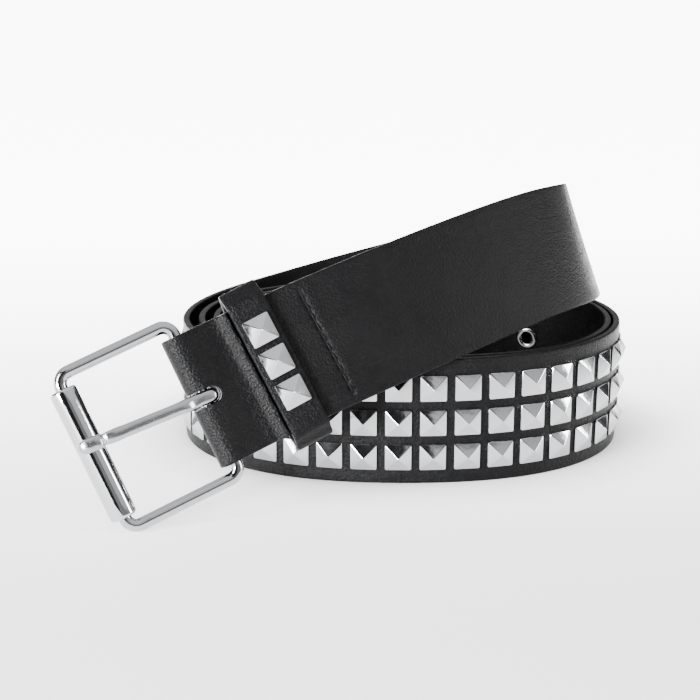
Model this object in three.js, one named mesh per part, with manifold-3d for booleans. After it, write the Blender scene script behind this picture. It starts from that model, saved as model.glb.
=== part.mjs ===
// A black leather belt with three rows of pyramid studs and a roller buckle, rolled into an oval
// coil that stands on its lower edge.
//
// Units are millimetres and degrees. +Z is up, the front of the coil faces -Y and the buckle lies
// at the front left. The strap is one spiral: it starts at the fold round the buckle's bar, rises
// to the right in front of the coil, turns over it, comes down round the back to the left, and
// then runs round the coil twice more until its tip.

import * as THREE from "three";
import Module from "manifold-3d";

const manifold = await Module();
manifold.setup();
const { sin, cos, sqrt, PI, max, min, round, floor } = Math;
const degrees = PI / 180;

// Strap
const strapWidth = 41.3;
const strapThickness = 2.3;
const strapLength = 1236; // from the fold to the tip
const tipTaper = 24; // length over which the tip narrows to its rounded end
const plainStep = 8; // longest flat step of the strap where it has no studs

// Coil: the oval that the middle of the strap's outermost turn follows
const coilHalfWidth = 74.7;
const coilHalfDepth = 57;
const studClearance = 0.4; // from stud tips to the turn outside them
const plainGap = 0.6; // between two turns where the inner one is plain
const eyeletRoom = 2.8; // between two turns where the inner one carries eyelets

// Studs, all of one kind
const studSide = 8.6;
const studHeight = 2.7;
const studRim = 0.7; // height of the upright rim under the pyramid
const studPitch = 10.9; // along the strap
const rowPitch = 11.4;
const studRowShift = -0.25; // of the middle row from the strap's middle, under 0 where it is lower
const plainStart = 185.7; // from the fold to the first stud
const studColumns = 64;

// Eyelets near the tip
const eyeletCount = 5;
const eyeletPitch = 25;
const eyeletFromTip = 87;
const eyeletBore = 2.2; // radius
const eyeletWall = 0.6;
const eyeletFlange = 3.9; // radius
const eyeletFlangeThickness = 0.7;
const eyeletRise = 1.5; // of the eyelets' middles above the strap's middle
const pieceGap = 0.3; // between a piece and the one it is pressed on or sewn to

// Fold and flap round the bar
const glueGap = 0.3; // between the flap and the strap in front of it
const flapLength = 49;
const foldBlend = 12; // over which the strap swells from its own plane to the fold
const slotClearance = 0.5; // on each side of the prong
const slotEndRoom = 0.5; // behind the prong's eye, so that the prong can swing open

// Keeper loop
const keeperFromFold = 28.2; // to the keeper's middle
const keeperSkew = 3; // degrees by which its top leans towards the fold
const keeperWidth = 12;
const keeperThickness = 2;
const keeperSideRoom = 3.4; // between the strap's edge and the keeper's end
const keeperFaceRoom = 0.35; // between the strap's faces and the keeper
const keeperStudCount = 3;
const keeperStudPitch = 10.4;
const keeperStudLift = 1.2; // of the middle stud above the keeper's middle

// Buckle
const wireRadius = 1.95;
const barClearance = 0.4; // between the bar and what turns round it
const frameSideRoom = 2.2; // between the strap's edge and the frame's side
const frameReach = 36.3; // from the bar's axis to the roller's axis
const frameCornerRadius = 3.6; // of the wire's axis
const rollerRadius = 4.15;
const rollerEndRoom = 0.4;
const rollerRounding = 0.6; // of the edges at the roller's ends
const prongWidth = 4.2;
const prongThickness = 2.9;
const prongEyeWall = 1;
const prongOverRoller = 2.9; // from the roller's axis to the prong's end
const prongSkew = 3.8; // its turn in the frame's plane, which its play on the bar allows
const prongRise = 0.5; // of the prong and its slot above the strap's middle

// The raised turn of the strap, from the fold to where it joins the coil at its left end, at even
// distances along it. across is a share of the coil's half width, back of its half depth, both
// from the oval's middle, height a share of the strap's width, and lean is in degrees: the turn
// of the strap about its own length, which is under 0 where its upper edge leans inwards.
const raisedTurn = [
  { across: -0.865, back: -1.51, height: 0.848, lean: -17.7 },
  { across: -0.476, back: -1.338, height: 1.134, lean: -18 },
  { across: -0.088, back: -1.142, height: 1.383, lean: -17.4 },
  { across: 0.291, back: -0.882, height: 1.582, lean: -16.5 },
  { across: 0.615, back: -0.51, height: 1.677, lean: -15.8 },
  { across: 0.817, back: -0.009, height: 1.62, lean: -18.4 },
  { across: 0.82, back: 0.546, height: 1.473, lean: -19.7 },
  { across: 0.603, back: 0.989, height: 1.189, lean: -9.4 },
  { across: 0.236, back: 1.201, height: 0.888, lean: 5 },
  { across: -0.178, back: 1.174, height: 0.686, lean: 12.5 },
  { across: -0.572, back: 0.945, height: 0.55, lean: 10.4 },
  { across: -0.878, back: 0.537, height: 0.504, lean: 3.4 },
  { across: -1, back: 0, height: 0.5, lean: 0 },
];

// Length of the raised turn as a share of the coil's half width plus its half depth
const raisedLength = 2.976 * (coilHalfWidth + coilHalfDepth);

// A smooth curve through evenly spaced values: it starts straight and ends with a given slope
// per step. Returns a function of the place, from 0 to values.length - 1.
function smoothThrough(values, endSlope) {
  const last = values.length - 1;
  const slopes = new Array(last + 1);
  const factor = new Array(last);
  const held = new Array(last);
  factor[0] = 0.5;
  held[0] = 1.5 * (values[1] - values[0]);
  for (let i = 1; i < last; i++) {
    factor[i] = 1 / (4 - factor[i - 1]);
    held[i] = (3 * (values[i + 1] - values[i - 1]) - held[i - 1]) * factor[i];
  }
  slopes[last] = endSlope;
  for (let i = last - 1; i >= 0; i--) {
    slopes[i] = held[i] - factor[i] * slopes[i + 1];
  }
  return (place) => {
    const i = min(last - 1, max(0, floor(place)));
    const t = place - i;
    const rise = values[i + 1] - values[i];
    const bend = 3 * rise - 2 * slopes[i] - slopes[i + 1];
    const twist = slopes[i] + slopes[i + 1] - 2 * rise;
    return values[i] + t * (slopes[i] + t * (bend + t * twist));
  };
}

// 0 before one angle, 1 after another, and a soft step between them.
function softStep(from, to, angle) {
  const t = min(1, max(0, (angle - from) / (to - from)));
  return t * t * (3 - 2 * t);
}

// How far inside the oval the strap runs at an angle counted on through the turns. The coil
// starts at its left end at 180, and passes the front at 270, the right at 360 and so on.
function inset(angle) {
  const studded = strapThickness + studHeight + studClearance;
  const plain = strapThickness + plainGap;
  const eyed = strapThickness + eyeletRoom;
  return (
    studded * softStep(392, 432, angle) +
    (plain - studded) * softStep(612, 648, angle) +
    (studded + eyed - plain) * softStep(748, 788, angle)
  );
}

// A point of the coil at an angle, with the strap standing on its lower edge.
function coilPoint(angle) {
  const a = angle * degrees;
  const radius =
    (coilHalfWidth + coilHalfDepth) / 2 +
    ((coilHalfWidth - coilHalfDepth) / 2) * cos(2 * a) -
    inset(angle);
  return new THREE.Vector3(radius * cos(a), radius * sin(a), strapWidth / 2);
}

// The whole route at close steps: each has its place, the direction along the strap, the
// direction up across it, and its distance from the fold.
function strapRoute() {
  const steps = raisedTurn.length - 1;
  const column = (name, size, slope) =>
    smoothThrough(
      raisedTurn.map((row) => row[name] * size),
      slope,
    );
  const x = column("across", coilHalfWidth, 0);
  const y = column("back", coilHalfDepth, -raisedLength / steps);
  const z = column("height", strapWidth, 0);
  const lean = column("lean", degrees, 0);
  const route = [];
  const samples = 32 * steps;
  for (let i = 0; i < samples; i++) {
    const place = (i / samples) * steps;
    const point = new THREE.Vector3(x(place), y(place), z(place));
    route.push({ point, lean: lean(place) });
  }
  for (let angle = 180; angle < 1080; angle += 1) {
    route.push({ point: coilPoint(angle), lean: 0 });
  }
  let distance = 0;
  route.forEach((here, i) => {
    const before = route[max(0, i - 1)].point;
    const after = route[min(route.length - 1, i + 1)].point;
    here.along = after.clone().sub(before).normalize();
    const upright = new THREE.Vector3(0, 0, 1);
    upright.addScaledVector(here.along, -here.along.z).normalize();
    here.up = upright.applyAxisAngle(here.along, here.lean);
    distance += here.point.distanceTo(before);
    here.distance = distance;
  });
  return route;
}

const route = strapRoute();

// Place and directions of the strap at a distance from the fold. out points away from the coil.
function strapAt(distance) {
  let low = 0;
  let high = route.length - 1;
  while (high - low > 1) {
    const middle = (low + high) >> 1;
    if (route[middle].distance <= distance) low = middle;
    else high = middle;
  }
  const a = route[low];
  const b = route[high];
  const t = (distance - a.distance) / (b.distance - a.distance);
  const point = a.point.clone().lerp(b.point, t);
  const along = a.along.clone().lerp(b.along, t).normalize();
  const out = along
    .clone()
    .cross(a.up.clone().lerp(b.up, t))
    .normalize();
  const up = out.clone().cross(along);
  return { point, along, up, out };
}

// The fold is a half circle round the bar, whose axis lies midway between strap and flap.
const foldRadius = wireRadius + barClearance + strapThickness / 2;
const barFromFold = foldRadius + strapThickness / 2;
const flapOffset = strapThickness + glueGap;
const foldSwell = foldRadius - flapOffset / 2;
const prongEye = wireRadius + barClearance + prongEyeWall;

// How far the strap stands out of its own plane at a distance from the fold.
function swell(distance) {
  return foldSwell * (1 - softStep(barFromFold, barFromFold + foldBlend, distance));
}

// One cross-section of the strap. shift moves it outwards, and backwards makes it part of the
// flap, whose outer face looks the other way.
function section(distance, shift, backwards) {
  const at = strapAt(distance);
  const point = at.point.clone().addScaledVector(at.out, shift);
  const out = backwards ? at.out.clone().negate() : at.out;
  return { point, out, up: at.up, share: 1, stud: false };
}

// Sections of the fold, from the flap's side to the front, turned about the bar's axis.
function foldSections() {
  const at = strapAt(barFromFold);
  const axis = at.point.clone().addScaledVector(at.out, -flapOffset / 2);
  const steps = 8;
  const sections = [];
  for (let i = 0; i <= steps; i++) {
    const turn = (-0.5 + i / steps) * PI;
    const out = at.along
      .clone()
      .multiplyScalar(-cos(turn))
      .addScaledVector(at.out, sin(turn));
    const point = axis.clone().addScaledVector(out, foldRadius);
    sections.push({ point, out, up: at.up, share: 1, stud: false });
  }
  return sections;
}

// Distances of the eyelets from the fold, and half the flat step that each sits on
const eyeletFlat = eyeletFlange + 0.5;
const eyeletPlaces = Array.from(
  { length: eyeletCount },
  (_, i) => strapLength - eyeletFromTip - i * eyeletPitch,
);

// The distances at which the front strap has a cross-section: close ones where it swells to the
// fold, both edges of each stud column and eyelet, the tip's rounding, and even steps between.
function sectionPlaces() {
  const places = [];
  for (let i = 1; i <= 5; i++) {
    places.push({ at: barFromFold + (foldBlend * i) / 5 });
  }
  for (let i = 0; i < studColumns; i++) {
    places.push({ at: plainStart + i * studPitch, stud: true, flat: true });
    places.push({ at: plainStart + i * studPitch + studSide });
  }
  for (const place of eyeletPlaces) {
    places.push({ at: place - eyeletFlat, flat: true });
    places.push({ at: place + eyeletFlat });
  }
  places.push({ at: strapLength - tipTaper });
  places.sort((a, b) => a.at - b.at);
  const filled = [];
  places.forEach((place, i) => {
    if (i > 0) {
      const before = places[i - 1];
      const length = place.at - before.at;
      const pieces = before.flat ? 1 : round(length / plainStep + 0.4);
      for (let k = 1; k < pieces; k++) {
        filled.push({ at: before.at + (length * k) / pieces });
      }
    }
    filled.push(place);
  });
  const tipSteps = 6;
  for (let i = 1; i <= tipSteps; i++) {
    const t = sin((i / tipSteps) * 0.5 * PI);
    const share = max(0.12, (1 - t ** 2.2) ** (1 / 2.2));
    filled.push({ at: strapLength - tipTaper * (1 - t), share });
  }
  return filled;
}

function strapSections() {
  const sections = [];
  const flapSteps = 7;
  for (let i = 0; i < flapSteps; i++) {
    const distance = flapLength + ((barFromFold - flapLength) * i) / flapSteps;
    sections.push(section(distance, -flapOffset - swell(distance), true));
  }
  sections.push(...foldSections());
  for (const place of sectionPlaces()) {
    const made = section(place.at, swell(place.at), false);
    made.stud = place.stud === true;
    made.share = place.share ?? 1;
    sections.push(made);
  }
  return sections;
}

// Lists the corners and triangles of a solid while it is built.
class SolidBuilder {
  corners = [];
  triangles = [];
  corner(point) {
    this.corners.push(point.x, point.y, point.z);
    return this.corners.length / 3 - 1;
  }
  triangle(a, b, c) {
    this.triangles.push(a, b, c);
  }
  quad(a, b, c, d) {
    this.triangle(a, b, c);
    this.triangle(a, c, d);
  }
  solid() {
    return new manifold.Manifold(
      new manifold.Mesh({
        numProp: 3,
        vertProperties: new Float32Array(this.corners),
        triVerts: new Uint32Array(this.triangles),
      }),
    );
  }
}

// A stud on four corners that run round anticlockwise as seen from outside: an upright rim and
// a pyramid on it.
function addStud(builder, feet, points, out) {
  const rim = points.map((p) => builder.corner(p.clone().addScaledVector(out, studRim)));
  const middle = points.reduce((sum, p) => sum.add(p), new THREE.Vector3());
  middle.multiplyScalar(1 / points.length).addScaledVector(out, studHeight);
  const tip = builder.corner(middle);
  for (let i = 0; i < 4; i++) {
    const next = (i + 1) % 4;
    builder.quad(feet[i], feet[next], rim[next], rim[i]);
    builder.triangle(rim[i], rim[next], tip);
  }
}

// Heights across the strap, from its middle, at which the outer face has a line of corners: both
// edges, and both sides of each stud row.
function rowHeights() {
  const heights = [-strapWidth / 2];
  for (let row = -1; row <= 1; row++) {
    const middle = studRowShift + row * rowPitch;
    heights.push(middle - studSide / 2, middle + studSide / 2);
  }
  heights.push(strapWidth / 2);
  return heights;
}

// The strap with its studs as one solid: a line of corners for each section, quads between two
// sections, and a stud over each second quad of a stud column.
function strapSolid() {
  const builder = new SolidBuilder();
  const heights = rowHeights();
  const lines = strapSections().map((s) => {
    const at = (height, out) =>
      s.point
        .clone()
        .addScaledVector(s.up, height * s.share)
        .addScaledVector(s.out, out);
    const outerPoints = heights.map((h) => at(h, strapThickness / 2));
    return {
      outerPoints,
      outer: outerPoints.map((p) => builder.corner(p)),
      innerLow: builder.corner(at(-strapWidth / 2, -strapThickness / 2)),
      innerHigh: builder.corner(at(strapWidth / 2, -strapThickness / 2)),
      stud: s.stud,
    };
  });
  const top = heights.length - 1;
  for (let i = 0; i < lines.length - 1; i++) {
    const a = lines[i];
    const b = lines[i + 1];
    for (let k = 0; k < top; k++) {
      const feet = [a.outer[k], b.outer[k], b.outer[k + 1], a.outer[k + 1]];
      if (a.stud && k % 2 === 1) {
        const points = [
          a.outerPoints[k],
          b.outerPoints[k],
          b.outerPoints[k + 1],
          a.outerPoints[k + 1],
        ];
        const out = points[1]
          .clone()
          .sub(points[0])
          .cross(points[3].clone().sub(points[0]))
          .normalize();
        addStud(builder, feet, points, out);
      } else {
        builder.quad(...feet);
      }
    }
    builder.quad(a.innerLow, a.innerHigh, b.innerHigh, b.innerLow);
    builder.quad(a.outer[0], a.innerLow, b.innerLow, b.outer[0]);
    builder.quad(a.outer[top], b.outer[top], b.innerHigh, a.innerHigh);
  }
  const first = lines[0];
  const last = lines[lines.length - 1];
  for (let k = 0; k < top; k++) {
    builder.triangle(first.innerLow, first.outer[k], first.outer[k + 1]);
    builder.triangle(last.innerLow, last.outer[k + 1], last.outer[k]);
  }
  builder.triangle(first.innerLow, first.outer[top], first.innerHigh);
  builder.triangle(last.innerLow, last.innerHigh, last.outer[top]);
  return builder.solid();
}

// A matrix whose x, y and z axes are three directions, at a point.
function placeAt(point, x, y, z) {
  return new THREE.Matrix4().makeBasis(x, y, z).setPosition(point);
}

// The place of the buckle: x points from the bar to the roller, y down along the bar, and z out
// of the strap's front.
function bucklePlace() {
  const at = strapAt(barFromFold);
  const axis = at.point.clone().addScaledVector(at.out, -flapOffset / 2);
  return placeAt(axis, at.along.clone().negate(), at.up.clone().negate(), at.out);
}

// A three.js geometry as a solid, moved by a matrix.
function solidOf(geometry, matrix) {
  const moved = geometry.clone().applyMatrix4(matrix);
  const position = moved.getAttribute("position");
  const builder = new SolidBuilder();
  const known = new Map();
  const at = new THREE.Vector3();
  const count = moved.index ? moved.index.count : position.count;
  const corners = [];
  for (let i = 0; i < count; i++) {
    at.fromBufferAttribute(position, moved.index ? moved.index.getX(i) : i);
    const key = [at.x, at.y, at.z].map((v) => round(v * 1000)).join();
    if (!known.has(key)) known.set(key, builder.corner(at));
    corners.push(known.get(key));
  }
  for (let i = 0; i < count; i += 3) {
    const [a, b, c] = corners.slice(i, i + 3);
    if (a !== b && b !== c && c !== a) builder.triangle(a, b, c);
  }
  return builder.solid();
}

// A solid as a three.js geometry.
function geometryOf(solid) {
  const mesh = solid.getMesh();
  const points = new Float32Array(mesh.numVert * 3);
  for (let i = 0; i < mesh.numVert; i++) {
    points.set(mesh.vertProperties.subarray(i * mesh.numProp, i * mesh.numProp + 3), i * 3);
  }
  const geometry = new THREE.BufferGeometry();
  geometry.setAttribute("position", new THREE.BufferAttribute(points, 3));
  geometry.setIndex(new THREE.BufferAttribute(new Uint32Array(mesh.triVerts), 1));
  return geometry;
}

// A slot or ring outline: a rectangle whose ends are half circles, about its own middle.
function stadium(shape, length, width) {
  const radius = width / 2;
  const straight = length / 2 - radius;
  shape.absarc(0, straight, radius, 0, PI, false);
  shape.absarc(0, -straight, radius, PI, 2 * PI, false);
  return shape;
}

// The prong's slot runs from beyond the fold to its rounded end, through strap and flap. The
// rounding starts behind the corners of the prong's eye.
function slotCutter() {
  const half = prongWidth / 2 + slotClearance;
  const straight = prongEye + slotEndRoom - sqrt(half ** 2 - (prongWidth / 2) ** 2);
  const beyond = barFromFold + 2;
  const outline = new THREE.Shape();
  outline.moveTo(beyond, -half);
  outline.lineTo(beyond, half);
  outline.lineTo(-straight, half);
  outline.absarc(-straight, 0, half, PI / 2, 1.5 * PI, false);
  outline.closePath();
  const depth = 4 * foldRadius;
  const geometry = new THREE.ExtrudeGeometry(outline, {
    depth,
    bevelEnabled: false,
    curveSegments: 10,
  });
  geometry.translate(0, -prongRise, -depth / 2);
  return solidOf(geometry, bucklePlace());
}

// The place of an eyelet, on the flat step of the strap between its two sections. Its own y axis
// points out of the strap.
function eyeletPlace(distance) {
  const before = strapAt(distance - eyeletFlat);
  const after = strapAt(distance + eyeletFlat);
  const point = before.point.clone().lerp(after.point, 0.5);
  point.addScaledVector(before.up, eyeletRise);
  const along = after.point.clone().sub(before.point).normalize();
  const out = along.clone().cross(before.up);
  return placeAt(point, along, out, before.up.clone().negate());
}

const eyeletHole = eyeletBore + eyeletWall + pieceGap;

function eyeletCutter(distance) {
  const geometry = new THREE.CylinderGeometry(eyeletHole, eyeletHole, 2 * strapThickness, 16);
  return solidOf(geometry, eyeletPlace(distance));
}

// A metal ring with a flange on each face of the strap.
function eyeletGeometry(distance) {
  const face = strapThickness / 2 + pieceGap / 2;
  const crown = face + eyeletFlangeThickness;
  const barrel = eyeletBore + eyeletWall;
  const rim = (eyeletFlange + eyeletBore) / 2;
  const profile = [
    [eyeletBore, -face],
    [rim, -crown],
    [eyeletFlange, -face],
    [barrel, -face],
    [barrel, face],
    [eyeletFlange, face],
    [rim, crown],
    [eyeletBore, face],
    [eyeletBore, -face],
  ].map(([radius, height]) => new THREE.Vector2(radius, height));
  const geometry = new THREE.LatheGeometry(profile, 16);
  return geometry.applyMatrix4(eyeletPlace(distance));
}

// The keeper goes round strap and flap. Its own z axis runs along the strap, but for its skew.
const keeperInnerDepth = flapOffset + strapThickness + 2 * keeperFaceRoom;
const keeperOuterDepth = keeperInnerDepth + 2 * keeperThickness;

function keeperPlace() {
  const at = strapAt(keeperFromFold);
  const middle = at.point.clone().addScaledVector(at.out, -flapOffset / 2);
  const place = placeAt(middle, at.out, at.up, at.along.clone().negate());
  return place.multiply(new THREE.Matrix4().makeRotationX(keeperSkew * degrees));
}

function keeperGeometry() {
  const innerHeight = strapWidth + 2 * keeperSideRoom;
  const outline = stadium(new THREE.Shape(), innerHeight + 2 * keeperThickness, keeperOuterDepth);
  outline.holes.push(stadium(new THREE.Path(), innerHeight, keeperInnerDepth));
  const geometry = new THREE.ExtrudeGeometry(outline, {
    depth: keeperWidth,
    bevelEnabled: false,
    curveSegments: 8,
  });
  geometry.translate(0, 0, -keeperWidth / 2);
  return geometry.applyMatrix4(keeperPlace());
}

// One loose stud on the keeper's front, a number of pitches above its middle.
function keeperStudGeometry(pitches) {
  const builder = new SolidBuilder();
  const half = studSide / 2;
  const out = new THREE.Vector3(1, 0, 0);
  const foot = keeperOuterDepth / 2 + pieceGap;
  const points = [
    [-half, half],
    [-half, -half],
    [half, -half],
    [half, half],
  ].map(([y, z]) => new THREE.Vector3(foot, y + keeperStudLift + pitches * keeperStudPitch, z));
  const feet = points.map((p) => builder.corner(p));
  addStud(builder, feet, points, out);
  builder.quad(feet[3], feet[2], feet[1], feet[0]);
  return geometryOf(builder.solid()).applyMatrix4(keeperPlace());
}

// The frame is one round wire bent to a rectangle with rounded corners.
const frameHalfHeight = strapWidth / 2 + frameSideRoom + wireRadius;

class FrameLine extends THREE.Curve {
  getPoint(share, target = new THREE.Vector3()) {
    const r = frameCornerRadius;
    const across = frameReach - 2 * r;
    const upwards = 2 * frameHalfHeight - 2 * r;
    const arc = 0.5 * PI * r;
    let left = (share % 1) * (2 * across + 2 * upwards + 4 * arc);
    const corners = [
      [frameReach - r, -frameHalfHeight + r, across],
      [frameReach - r, frameHalfHeight - r, upwards],
      [r, frameHalfHeight - r, across],
      [r, -frameHalfHeight + r, upwards],
    ];
    for (let side = 0; side < 4; side++) {
      const [cx, cy, straight] = corners[side];
      const start = (side - 1) * 0.5 * PI;
      const turn = left < straight ? 0 : min(1, (left - straight) / arc) * 0.5 * PI;
      const x = cx + r * cos(start + turn);
      const y = cy + r * sin(start + turn);
      if (left <= straight + arc) {
        const back = max(0, straight - left);
        return target.set(x + sin(start) * back, y - cos(start) * back, 0);
      }
      left -= straight + arc;
    }
    return target.set(corners[3][0], corners[3][1], 0);
  }
}

function frameGeometry() {
  const geometry = new THREE.TubeGeometry(new FrameLine(), 96, wireRadius, 12, true);
  return geometry.applyMatrix4(bucklePlace());
}

// The roller is a tube on the frame's outer side, with rounded ends. Its own y axis is the
// frame's y axis.
function rollerGeometry() {
  const half = frameHalfHeight - frameCornerRadius - rollerEndRoom;
  const bore = wireRadius + barClearance;
  const profile = [
    [bore, -half],
    [rollerRadius - rollerRounding, -half],
    [rollerRadius, -half + rollerRounding],
    [rollerRadius, half - rollerRounding],
    [rollerRadius - rollerRounding, half],
    [bore, half],
    [bore, -half],
  ].map(([radius, height]) => new THREE.Vector2(radius, height));
  const geometry = new THREE.LatheGeometry(profile, 24);
  geometry.translate(frameReach, 0, 0);
  return geometry.applyMatrix4(bucklePlace());
}

// The prong seen from the side: an eye round the bar, an arm from the eye's front to the roller,
// and a rounded end that lies over the roller.
function prongGeometry() {
  const bore = wireRadius + barClearance;
  const eye = prongEye;
  const under = rollerRadius + pieceGap;
  const end = frameReach + prongOverRoller;
  const outline = new THREE.Shape();
  outline.moveTo(0, eye);
  outline.absarc(0, 0, eye, PI / 2, 2 * PI, false);
  outline.quadraticCurveTo(eye, under - 0.9, eye + 5, under - 0.7);
  outline.lineTo(frameReach - rollerRadius, under);
  outline.lineTo(end, under);
  outline.quadraticCurveTo(end + 1.4, under + 1.3, end, under + 0.8 * prongThickness);
  outline.lineTo(frameReach - rollerRadius, under + prongThickness);
  outline.lineTo(eye + 6.5, under + prongThickness);
  outline.quadraticCurveTo(eye + 1.2, eye, 0, eye);
  outline.holes.push(new THREE.Path().absarc(0, 0, bore, 0, 2 * PI, true));
  const geometry = new THREE.ExtrudeGeometry(outline, {
    depth: prongWidth,
    bevelEnabled: false,
    curveSegments: 10,
  });
  geometry.translate(0, 0, -prongWidth / 2);
  geometry.rotateX(PI / 2);
  geometry.rotateZ(-prongSkew * degrees);
  geometry.translate(0, -prongRise, 0);
  return geometry.applyMatrix4(bucklePlace());
}

const leather = { color: 0x17171a, roughness: 0.55, metalness: 0 };
const chrome = { color: 0xd4d6da, roughness: 0.2, metalness: 1 };

const belt = new THREE.Group();
belt.name = "studded_belt";

function addPiece(name, geometry, look) {
  geometry.computeVertexNormals();
  const mesh = new THREE.Mesh(geometry, new THREE.MeshStandardMaterial(look));
  mesh.name = name;
  belt.add(mesh);
}

const holes = [slotCutter(), ...eyeletPlaces.map(eyeletCutter)];
addPiece("strap", geometryOf(strapSolid().subtract(manifold.Manifold.union(holes))), leather);
addPiece("keeper", keeperGeometry(), leather);
for (let i = 0; i < keeperStudCount; i++) {
  const pitches = (keeperStudCount - 1) / 2 - i;
  addPiece(`keeper_stud_${i + 1}`, keeperStudGeometry(pitches), chrome);
}
addPiece("buckle_frame", frameGeometry(), chrome);
addPiece("roller", rollerGeometry(), chrome);
addPiece("prong", prongGeometry(), chrome);
eyeletPlaces.forEach((place, i) => addPiece(`eyelet_${i + 1}`, eyeletGeometry(place), chrome));

// The belt's middle lies over the frame's origin, and its lower edge on the ground.
belt.updateMatrixWorld(true);
const bounds = new THREE.Box3().setFromObject(belt, true);
const middle = bounds.getCenter(new THREE.Vector3());
belt.position.set(-middle.x, -middle.y, -bounds.min.z);

export default belt;
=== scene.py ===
# %% [markdown]
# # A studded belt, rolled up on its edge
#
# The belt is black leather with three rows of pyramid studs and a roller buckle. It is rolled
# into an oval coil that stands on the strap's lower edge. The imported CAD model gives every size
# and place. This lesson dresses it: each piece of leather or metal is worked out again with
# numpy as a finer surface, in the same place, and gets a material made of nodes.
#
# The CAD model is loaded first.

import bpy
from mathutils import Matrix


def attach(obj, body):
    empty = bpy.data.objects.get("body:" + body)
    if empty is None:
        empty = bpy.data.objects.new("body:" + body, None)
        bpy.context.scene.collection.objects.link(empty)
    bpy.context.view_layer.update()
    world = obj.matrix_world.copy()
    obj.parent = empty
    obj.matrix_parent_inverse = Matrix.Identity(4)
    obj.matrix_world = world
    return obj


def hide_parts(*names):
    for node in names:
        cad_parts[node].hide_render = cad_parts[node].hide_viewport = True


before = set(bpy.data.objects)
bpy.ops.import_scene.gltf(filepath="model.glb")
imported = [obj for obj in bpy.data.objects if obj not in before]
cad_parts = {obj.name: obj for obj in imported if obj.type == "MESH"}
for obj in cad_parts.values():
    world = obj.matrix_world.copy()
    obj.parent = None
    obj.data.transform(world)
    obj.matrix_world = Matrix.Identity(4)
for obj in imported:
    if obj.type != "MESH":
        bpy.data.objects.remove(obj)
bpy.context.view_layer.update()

# %% [markdown]
# ## Units and small helpers
#
# Leather workers measure in millimetres, and Blender in metres. Every size below is in
# millimetres and becomes metres in one place, where a mesh is made. A helper is written where
# it is first needed.

import bpy
import numpy as np

millimetre = 0.001


def unit(vectors):
    """Each vector divided by its own length."""
    return vectors / np.linalg.norm(vectors, axis=-1, keepdims=True)


def soft_step(start, end, values):
    """0 before start, 1 after end, and 3 t^2 - 2 t^3 between them."""
    t = np.clip((values - start) / (end - start), 0, 1)
    return t * t * (3 - 2 * t)


# %% [markdown]
# ## The strap's route
#
# A rolled strap is one long ribbon. It could be drawn by hand as a curve, but then its turns
# would not fit the CAD model. Here the same rule gives the same route: a table of thirteen
# places for the raised turn that holds the buckle, then an oval spiral whose turns lie inside
# each other by the leather and what stands on it.

# %% Sizes of the strap and its coil
strap_width = 41.3
strap_thickness = 2.3
strap_length = 1236
tip_taper = 24
coil_half_width = 74.7
coil_half_depth = 57
stud_clearance = 0.4
plain_gap = 0.6
eyelet_room = 2.8
stud_height = 2.7
belt_place = np.array([13.4317, 13.5312, 0.0109])

# across and back are shares of the coil's half width and half depth, height of the strap's
# width, and lean is in degrees.
raised_turn = np.array(
    [
        (-0.865, -1.51, 0.848, -17.7),
        (-0.476, -1.338, 1.134, -18),
        (-0.088, -1.142, 1.383, -17.4),
        (0.291, -0.882, 1.582, -16.5),
        (0.615, -0.51, 1.677, -15.8),
        (0.817, -0.009, 1.62, -18.4),
        (0.82, 0.546, 1.473, -19.7),
        (0.603, 0.989, 1.189, -9.4),
        (0.236, 1.201, 0.888, 5),
        (-0.178, 1.174, 0.686, 12.5),
        (-0.572, 0.945, 0.55, 10.4),
        (-0.878, 0.537, 0.504, 3.4),
        (-1, 0, 0.5, 0),
    ]
)
raised_length = 2.976 * (coil_half_width + coil_half_depth)


# %% The raised turn as smooth columns
def smooth_through(values, end_slope, places):
    """The cubic through evenly spaced values.

    The slope s at each value solves s[i-1] + 4 s[i] + s[i+1] = 3 (v[i+1] - v[i-1]), with no
    bend at the start and a given slope at the end. Between two values it is a Hermite cubic.
    """
    last = len(values) - 1
    rule = 4 * np.eye(last + 1) + np.eye(last + 1, k=1) + np.eye(last + 1, k=-1)
    right = np.zeros(last + 1)
    right[1:last] = 3 * (values[2:] - values[:-2])
    rule[0, :2] = 2, 1
    right[0] = 3 * (values[1] - values[0])
    rule[last] = 0
    rule[last, last] = 1
    right[last] = end_slope
    slope = np.linalg.solve(rule, right)
    i = np.clip(np.floor(places).astype(int), 0, last - 1)
    t = places - i
    rise = values[i + 1] - values[i]
    bend = 3 * rise - 2 * slope[i] - slope[i + 1]
    twist = slope[i] + slope[i + 1] - 2 * rise
    return values[i] + t * (slope[i] + t * (bend + t * twist))


steps = len(raised_turn) - 1
places = np.arange(32 * steps) / 32
raised = np.stack(
    [
        smooth_through(raised_turn[:, 0] * coil_half_width, 0, places),
        smooth_through(raised_turn[:, 1] * coil_half_depth, -raised_length / steps, places),
        smooth_through(raised_turn[:, 2] * strap_width, 0, places),
    ],
    axis=1,
)
raised_lean = smooth_through(np.radians(raised_turn[:, 3]), 0, places)
print("raised turn:", len(raised), "places")

# %% [markdown]
# The coil itself is an oval whose radius is the mean of both half axes plus their half
# difference times cos 2a. What it loses from turn to turn is the stack of leather, studs and a
# little air. The strap's own directions come from the route: along it, across it and out of it.

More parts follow.
